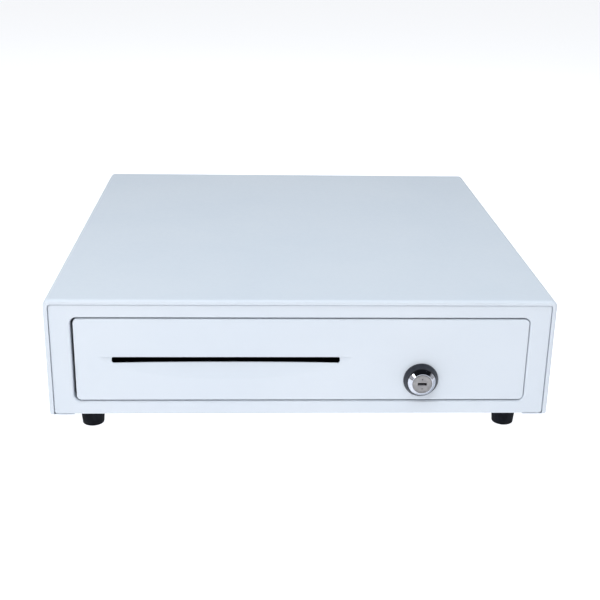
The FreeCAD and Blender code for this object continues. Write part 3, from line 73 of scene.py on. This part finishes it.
# name, place, target, width, height, watts, colour, seen in reflections
LIGHTS = (
    ("key", (-0.7, -1.5, 1.65), (0, 0, 0.05), 0.8, 0.8, 12.0, (0.97, 0.985, 1.0), False),
    ("top_soft", (0.0, -0.35, 1.7), (0, 0, 0.1), 1.6, 1.6, 31.0, (0.84, 0.93, 1.0), False),
    ("rear_soft", (0.6, 1.5, 1.0), (0, 0, 0.05), 1.2, 0.8, 1.5, (0.95, 0.98, 1.0), False),
    ("glint", (-0.82, -0.70, 0.65), (0.098, -0.215, 0.045), 0.26, 0.26, 1.0, (1.0, 1.0, 1.0), True),
)


def make_camera():
    data = bpy.data.cameras.new("camera")
    data.lens = CAMERA_LENS
    data.sensor_width = SENSOR_WIDTH
    camera = bpy.data.objects.new("camera", data)
    bpy.context.scene.collection.objects.link(camera)
    camera.matrix_world = (
        Matrix.Translation(CAMERA_PLACE)
        @ Matrix.Rotation(CAMERA_YAW, 4, "Z")
        @ Matrix.Rotation(CAMERA_TILT, 4, "X")
        @ Matrix.Rotation(CAMERA_ROLL, 4, "Z")
    )
    bpy.context.scene.camera = camera


def make_floor():
    mesh = bpy.data.meshes.new("floor")
    half = FLOOR_SIZE / 2
    corners = [(-half, -half), (half, -half), (half, half), (-half, half)]
    mesh.from_pydata([(x, y, FLOOR_LEVEL) for x, y in corners], [], [(0, 1, 2, 3)])
    floor = bpy.data.objects.new("floor", mesh)
    bpy.context.scene.collection.objects.link(floor)
    floor.data.materials.append(floor_paper())


def area_light(name, place, target, width, height, watts, colour, in_gloss):
    data = bpy.data.lights.new(name, "AREA")
    data.shape = "RECTANGLE"
    data.size = width
    data.size_y = height
    data.energy = watts
    data.color = colour
    light = bpy.data.objects.new(name, data)
    light.visible_glossy = in_gloss
    bpy.context.scene.collection.objects.link(light)
    way = Vector(target) - Vector(place)
    turn = way.to_track_quat("-Z", "Y").to_matrix().to_4x4()
    light.matrix_world = Matrix.Translation(place) @ turn


def make_world():
    """A white studio wall all round, with a dim ceiling above it."""
    world = bpy.data.worlds.new("studio")
    world.use_nodes = True
    tree = world.node_tree
    background = tree.nodes["Background"]
    place = tree.nodes.new("ShaderNodeTexCoord")
    parts = tree.nodes.new("ShaderNodeSeparateXYZ")
    ramp = tree.nodes.new("ShaderNodeValToRGB")
    tree.links.new(place.outputs["Generated"], parts.inputs[0])
    tree.links.new(parts.outputs["Z"], ramp.inputs["Fac"])
    tree.links.new(ramp.outputs["Color"], background.inputs["Color"])
    wall, ceiling = ramp.color_ramp.elements
    wall.position = WALL_ENDS
    wall.color = WALL
    ceiling.position = CEILING_STARTS
    ceiling.color = CEILING
    background.inputs["Strength"].default_value = WORLD_STRENGTH
    bpy.context.scene.world = world


# ---------------------------------------------------------------- material tools

NOISE_LOW, NOISE_HIGH = 0.3, 0.7  # nearly all of a noise texture's values lie between these
WAVES_PER_METRE = 3.2  # rings that a wave texture of scale 1 draws in a metre
RING_WOBBLE = 0.6


class Shader:
    """A node material round one Principled shader.

    Its textures are in metres, in the object's own frame.
    """

    def __init__(self, name, colour, roughness, metallic=0.0, **sockets):
        self.material = bpy.data.materials.new(name)
        self.material.use_nodes = True
        self.tree = self.material.node_tree
        self.surface = self.tree.nodes["Principled BSDF"]
        self.colour = (*colour, 1.0)
        self.roughness = roughness
        self.surface.inputs["Base Color"].default_value = self.colour
        self.surface.inputs["Roughness"].default_value = roughness
        self.surface.inputs["Metallic"].default_value = metallic
        for socket, value in sockets.items():
            self.surface.inputs[socket.replace("_", " ")].default_value = value
        self.where = self.new("ShaderNodeTexCoord").outputs["Object"]
        self.bumps = None

    def new(self, kind, **settings):
        node = self.tree.nodes.new(kind)
        for key, value in settings.items():
            setattr(node, key, value)
        return node

    def link(self, start, end):
        self.tree.links.new(start, end)

    def mapped(self, stretch=(1, 1, 1), centre=(0, 0, 0)):
        node = self.new("ShaderNodeMapping")
        self.link(self.where, node.inputs["Vector"])
        node.inputs["Scale"].default_value = stretch
        node.inputs["Location"].default_value = [-c * s for c, s in zip(centre, stretch)]
        return node.outputs["Vector"]

    def noise(self, scale, detail=2.0, stretch=(1, 1, 1)):
        node = self.new("ShaderNodeTexNoise")
        self.link(self.mapped(stretch), node.inputs["Vector"])
        node.inputs["Scale"].default_value = scale
        node.inputs["Detail"].default_value = detail
        return node.outputs["Fac"]

    def cells(self, scale, stretch=(1, 1, 1)):
        node = self.new("ShaderNodeTexVoronoi")
        self.link(self.mapped(stretch), node.inputs["Vector"])
        node.inputs["Scale"].default_value = scale
        return node

    def rings(self, centre, pitch):
        """Turned rings about an axis along Y through centre."""
        node = self.new("ShaderNodeTexWave", wave_type="RINGS", rings_direction="Y",
                        wave_profile="SIN")
        self.link(self.mapped(centre=centre), node.inputs["Vector"])
        node.inputs["Scale"].default_value = 1 / (pitch * WAVES_PER_METRE)
        node.inputs["Distortion"].default_value = RING_WOBBLE
        return node.outputs["Fac"]

    def spread(self, value, low, high):
        node = self.new("ShaderNodeMapRange")
        self.link(value, node.inputs["Value"])
        node.inputs["From Min"].default_value = NOISE_LOW
        node.inputs["From Max"].default_value = NOISE_HIGH
        node.inputs["To Min"].default_value = low
        node.inputs["To Max"].default_value = high
        return node.outputs["Result"]

    def tint(self, value, other, low=0.35, high=0.65):
        """Mixes the colour so far with another one where value is high."""
        ramp = self.new("ShaderNodeValToRGB")
        ramp.color_ramp.elements[0].position = low
        ramp.color_ramp.elements[0].color = self.colour
        ramp.color_ramp.elements[1].position = high
        ramp.color_ramp.elements[1].color = (*other, 1.0)
        self.link(value, ramp.inputs["Fac"])
        self.link(ramp.outputs["Color"], self.surface.inputs["Base Color"])
        return self

    def rough(self, value, low, high):
        self.link(self.spread(value, low, high), self.surface.inputs["Roughness"])
        return self

    def bump(self, value, depth, strength=1.0):
        node = self.new("ShaderNodeBump")
        node.inputs["Distance"].default_value = depth
        node.inputs["Strength"].default_value = strength
        self.link(value, node.inputs["Height"])
        if self.bumps:
            self.link(self.bumps, node.inputs["Normal"])
        self.bumps = node.outputs["Normal"]
        self.link(self.bumps, self.surface.inputs["Normal"])
        return self


# ---------------------------------------------------------------- materials


def floor_paper():
    shader = Shader("floor_paper", (0.55, 0.56, 0.58), 0.9)
    shader.surface.inputs["Emission Color"].default_value = (0.97, 0.98, 1.0, 1)
    shader.surface.inputs["Emission Strength"].default_value = 0.86
    shader.bump(shader.noise(900.0), 0.00003)
    return shader.material


def powder_coat():
    shader = Shader("powder_coat", (0.63, 0.665, 0.715), 0.42,
                    Coat_Weight=0.12, Coat_Roughness=0.22)
    shader.tint(shader.noise(9.0, 3.0), (0.65, 0.68, 0.725))
    shader.rough(shader.noise(260.0), 0.38, 0.47)
    shader.bump(shader.noise(850.0, 3.0), 0.000045)
    shader.bump(shader.noise(170.0, 1.0), 0.00006)
    return shader.material


def zinc_steel():
    shader = Shader("zinc_steel", (0.60, 0.62, 0.64), 0.34, 1.0)
    shader.tint(shader.cells(140.0).outputs["Color"], (0.70, 0.715, 0.73), 0.2, 0.9)
    shader.rough(shader.noise(60.0, 4.0), 0.26, 0.42)
    shader.bump(shader.noise(2400.0, 2.0, (1, 0.05, 1)), 0.00001)
    return shader.material


def rail_steel():
    shader = Shader("rail_steel", (0.50, 0.52, 0.55), 0.28, 1.0)
    shader.tint(shader.noise(2600.0, 2.0, (1, 0.02, 1)), (0.62, 0.64, 0.66))
    shader.rough(shader.noise(90.0, 3.0, (1, 0.2, 1)), 0.22, 0.38)
    shader.bump(shader.noise(3200.0, 2.0, (1, 0.02, 1)), 0.00001)
    return shader.material


def screw_steel():
    shader = Shader("screw_steel", (0.66, 0.66, 0.65), 0.24, 1.0)
    shader.tint(shader.noise(600.0), (0.74, 0.735, 0.72))
    shader.rough(shader.noise(1500.0, 3.0), 0.18, 0.34)
    shader.bump(shader.noise(2600.0), 0.00001)
    return shader.material


def spring_steel():
    shader = Shader("spring_steel", (0.36, 0.37, 0.39), 0.3, 1.0)
    shader.tint(shader.noise(420.0, 3.0), (0.47, 0.47, 0.48))
    shader.rough(shader.noise(900.0), 0.24, 0.4)
    shader.bump(shader.noise(3000.0), 0.00001)
    return shader.material


def rubber():
    shader = Shader("rubber", (0.003, 0.0035, 0.006), 0.75, Specular_IOR_Level=0.12)
    shader.tint(shader.noise(160.0, 4.0), (0.006, 0.007, 0.011))
    shader.rough(shader.noise(220.0, 3.0), 0.68, 0.85)
    shader.bump(shader.noise(1400.0, 4.0), 0.00012)
    return shader.material


def chrome():
    shader = Shader("chrome", (0.53, 0.545, 0.60), 0.06, 1.0)
    shader.tint(shader.noise(300.0, 3.0), (0.58, 0.59, 0.64))
    shader.rough(shader.noise(500.0, 4.0), 0.04, 0.11)
    shader.bump(shader.noise(380.0, 1.0), 0.000006)
    return shader.material


def nickel():
    shader = Shader("nickel", (0.27, 0.26, 0.265), 0.42, 1.0)
    shader.tint(shader.noise(240.0, 4.0), (0.33, 0.315, 0.31))
    shader.rough(shader.noise(700.0, 3.0), 0.38, 0.54)
    shader.bump(shader.rings(middle("lock_plug"), 0.00022), 0.000006)
    shader.bump(shader.noise(1800.0, 3.0), 0.00001)
    return shader.material


def black_plastic():
    shader = Shader("black_plastic", (0.010, 0.012, 0.019), 0.30)
    shader.tint(shader.noise(120.0, 3.0), (0.015, 0.017, 0.025))
    shader.rough(shader.noise(400.0, 3.0), 0.30, 0.46)
    shader.bump(shader.noise(1600.0, 3.0), 0.00003)
    return shader.material


def till_plastic():
    shader = Shader("till_plastic", (0.026, 0.027, 0.030), 0.5)
    shader.tint(shader.noise(30.0, 4.0), (0.036, 0.037, 0.041))
    shader.rough(shader.noise(180.0, 3.0), 0.42, 0.60)
    shader.bump(shader.cells(1300.0).outputs["Distance"], 0.00007)
    shader.bump(shader.noise(40.0, 2.0), 0.00006)
    return shader.material


def coil_tape():
    shader = Shader("coil_tape", (0.46, 0.34, 0.05), 0.36, Coat_Weight=0.3, Coat_Roughness=0.15)
    shader.tint(shader.noise(220.0, 3.0), (0.55, 0.41, 0.07))
    shader.rough(shader.noise(300.0), 0.28, 0.44)
    shader.bump(shader.noise(140.0, 2.0, (1, 6, 1)), 0.00012)
    return shader.material


def clip_plastic():
    shader = Shader("clip_plastic", (0.030, 0.031, 0.035), 0.3)
    shader.tint(shader.noise(90.0, 2.0), (0.040, 0.041, 0.046))
    shader.rough(shader.noise(350.0, 3.0), 0.24, 0.36)
    shader.bump(shader.noise(900.0, 2.0), 0.00002)
    return shader.material


# Painted shade: a near-black dull finish for the zinc media chute, standing in for the shade down
# the slot.
def chute_painted_shade():
    shader = Shader("chute_painted_shade", (0.004, 0.004, 0.005), 0.9, Specular_IOR_Level=0.05)
    shader.tint(shader.noise(200.0, 3.0), (0.008, 0.008, 0.009))
    shader.rough(shader.noise(400.0), 0.82, 0.95)
    shader.bump(shader.noise(1500.0, 2.0), 0.00003)
    return shader.material


def contact_gold():
    shader = Shader("contact_gold", (0.78, 0.56, 0.22), 0.25, 1.0)
    shader.tint(shader.noise(500.0, 3.0), (0.86, 0.66, 0.32))
    shader.rough(shader.noise(900.0), 0.18, 0.34)
    shader.bump(shader.noise(2500.0), 0.000006)
    return shader.material


def dress_nodes():
    finishes = {
        "powder_coat": powder_coat(),
        "zinc_steel": zinc_steel(),
        "rail_steel": rail_steel(),
        "screw_steel": screw_steel(),
        "spring_steel": spring_steel(),
        "rubber": rubber(),
        "chrome": chrome(),
        "nickel": nickel(),
        "black_plastic": black_plastic(),
        "till_plastic": till_plastic(),
        "coil": coil_tape(),
        "clip_plastic": clip_plastic(),
    }
    for row in frame["record"]["subparts"]:
        mesh = nodes[row["node"]].data
        mesh.materials.clear()
        mesh.materials.append(finishes[row["material_slot"]])
    # Painted shade: the zinc media chute gets a near-black finish that stands in for the shade
    # inside the slot.
    shaded_chute_slots = nodes["media_chute"].data.materials
    shaded_chute_slots.clear()
    shaded_chute_slots.append(chute_painted_shade())
    return finishes


# ---------------------------------------------------------------- pieces

BILL_CLIPS = 4
TUBE_END = 0.55  # a wire's radius at its two ends, as a share of its own


def add_piece(name, points, faces, material, body):
    mesh = bpy.data.meshes.new(name)
    mesh.from_pydata([tuple(point) for point in points], [], faces)
    mesh.validate()
    mesh.materials.append(material)
    for polygon in mesh.polygons:
        polygon.use_smooth = True
    piece = bpy.data.objects.new(name, mesh)
    bpy.context.scene.collection.objects.link(piece)
    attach(piece, body)
    return piece


def strips(rows, sides, closed):
    """Quads between successive rings of points; closed joins the last ring to the first."""
    last = rows if closed else rows - 1
    faces = []
    for row in range(last):
        here, there = row * sides, (row + 1) % rows * sides
        for side in range(sides):
            after = (side + 1) % sides
            faces.append((here + side, here + after, there + after, there + side))
    return faces


def tube(name, path, radius, material, body, sides=10):
    """A round wire that follows a path and narrows at its ends."""
    path = [Vector(point) for point in path]
    rings = []
    normal = (path[1] - path[0]).orthogonal().normalized()
    for index, point in enumerate(path):
        ahead = path[min(index + 1, len(path) - 1)] - path[max(index - 1, 0)]
        way = ahead.normalized()
        normal = (normal - way * normal.dot(way)).normalized()
        across = way.cross(normal)
        thick = radius * (TUBE_END if index in (0, len(path) - 1) else 1.0)
        for k in range(sides):
            out = cos(tau * k / sides) * normal + sin(tau * k / sides) * across
            rings.append(point + thick * out)
    faces = strips(len(path), sides, False)
    faces.append(tuple(reversed(range(sides))))
    faces.append(tuple(range((len(path) - 1) * sides, len(path) * sides)))
    return add_piece(name, rings, faces, material, body)


def turned(name, profile, centre, axis, material, body, sides=128):
    """A closed profile of (radius, height) points turned about an axis through centre."""
    axis = Vector(axis)
    first = axis.orthogonal().normalized()
    second = axis.cross(first)
    points = []
    for radius, height in profile:
        for k in range(sides):
            out = cos(tau * k / sides) * first + sin(tau * k / sides) * second
            points.append(Vector(centre) + radius * out + height * axis)
    return add_piece(name, points, strips(len(profile), sides, True), material, body)


def flat_prism(name, corners, depths, place, material, body):
    """A four-cornered face in the XZ plane, drawn back from place through the two depths."""
    x, y, z = place
    points = [(x + u, y + depth, z + v) for depth in depths for u, v in corners]
    faces = strips(2, 4, False) + [(3, 2, 1, 0), (4, 5, 6, 7)]
    return add_piece(name, points, faces, material, body)


def plug_rim(face):
    """The raised rim turned on the face of the key plug."""
    inner, outer, slope = 0.0068, 0.0077, 0.0002
    root, foot, crest = -0.0002, 0.00003, 0.00012  # heights over the face
    rim = [(inner, root), (inner, foot), (inner + slope, crest),
           (outer - slope, crest), (outer, foot), (outer, root)]
    turned("plug_rim", rim, face, (0, -1, 0), finishes["nickel"], "lock_plug")


def key_shutter(face):
    """The shutter in the lower half of the keyway, whose lower edge leans back."""
    x, y, z = face
    half_long, half_high, drop = 0.0024, 0.0005, 0.00055
    points = []
    for depth, inset, lean in ((0.0022, 0.0, 0.0), (0.0009, 0.0, 0.0), (0.0006, 0.00018, 0.0003)):
        for u, v in ((-1, -1), (1, -1), (1, 1), (-1, 1)):
            back = depth + (lean if v < 0 else 0)
            rise = v * (half_high - inset)
            points.append((x + u * (half_long - inset), y + back, z - drop + rise))
    faces = strips(3, 4, False) + [(3, 2, 1, 0), (8, 9, 10, 11)]
    shutter = add_piece("key_shutter", points, faces, finishes["chrome"], "lock_plug")
    for polygon in shutter.data.polygons:
        polygon.use_smooth = False


def notch_shade_marks(face):
    """Painted shade for the two notches in the plug's face, above and below the keyway: black
    prisms set into the face stand in for the shade inside them.
    """
    tip, wide, tall, taper = 0.0034, 0.0005, 0.0011, 0.3
    proud, sunk = -0.00004, 0.0004
    for label, side in (("top", 1), ("bottom", -1)):
        corners = [(-wide, side * (tip + tall)), (wide, side * (tip + tall)),
                   (taper * wide, side * tip), (-taper * wide, side * tip)]
        # painted shade: black prisms where the notches' insides would be shaded
        flat_prism(f"painted_notch_shade_{label}", corners, (proud, sunk), face,
                   finishes["black_plastic"], "lock_plug")


def lock_face():
    x, _, z = middle("lock_barrel")
    face = (x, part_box("lock_plug")[0][1], z)
    plug_rim(face)
    key_shutter(face)
    notch_shade_marks(face)


def clip_coils():
    """Wound torsion springs on the clip rod, one beside each bill clip."""
    _, y, z = middle("clip_rod")
    turns, steps, pitch, radius, wire = 7, 28, 0.00088, 0.00285, 0.0004
    gap = 0.0008  # between the clip and its spring
    for number in range(1, BILL_CLIPS + 1):
        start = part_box(f"bill_clip_{number}")[1][0] + gap
        path = [(start, y - 0.0088, z - 0.0006), (start, y - 0.005, z - 0.0018)]
        for step in range(turns * steps + 1):
            turn = tau * step / steps - pi / 2
            along = start + pitch * step / steps
            path.append((along, y + radius * cos(turn), z + radius * sin(turn)))
        end = start + pitch * turns
        path += [(end, y + 0.0035, z - radius), (end, y + 0.0062, z - radius)]
        spring = tube(f"clip_coil_{number}", path, wire,
                      finishes["spring_steel"], "drawer")
        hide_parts("clip_springs")


def socket_contacts():
    """Six sprung contacts that hang from the roof of the cable socket."""
    low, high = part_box("cable_socket")
    x = (low[0] + high[0]) / 2
    roof = high[2] - 0.0043
    count, pitch, wire = 6, 0.00102, 0.00018
    bends = ((0.0138, 0.0002), (0.0090, 0.0009), (0.0045, 0.0024), (0.0030, 0.0022))
    for number in range(count):
        across = x + (number - (count - 1) / 2) * pitch
        path = [(across, high[1] - back, roof - drop) for back, drop in bends]
        tube(f"socket_contact_{number + 1}", path, wire, gold, "case", 8)


def coil_bobbin():
    """The end cheeks of the coil's bobbin."""
    low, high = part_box("solenoid_coil")
    _, y, z = middle("solenoid_coil")
    bore, thick, lift = 0.0046, 0.0011, 0.0001
    rim = (high[2] - low[2]) / 2 + lift
    profile = [(bore, 0.0), (rim, 0.0), (rim, thick), (bore, thick)]
    for label, start in (("left", low[0] + lift), ("right", high[0] - 0.002)):
        turned(f"bobbin_cheek_{label}", profile, (start, y, z), (1, 0, 0),
               finishes["black_plastic"], "case")


make_camera()
make_world()
make_floor()
for light in LIGHTS:
    area_light(*light)
finishes = dress_nodes()
gold = contact_gold()
lock_face()
clip_coils()
socket_contacts()
coil_bobbin()
bpy.context.scene.view_settings.view_transform = "Standard"
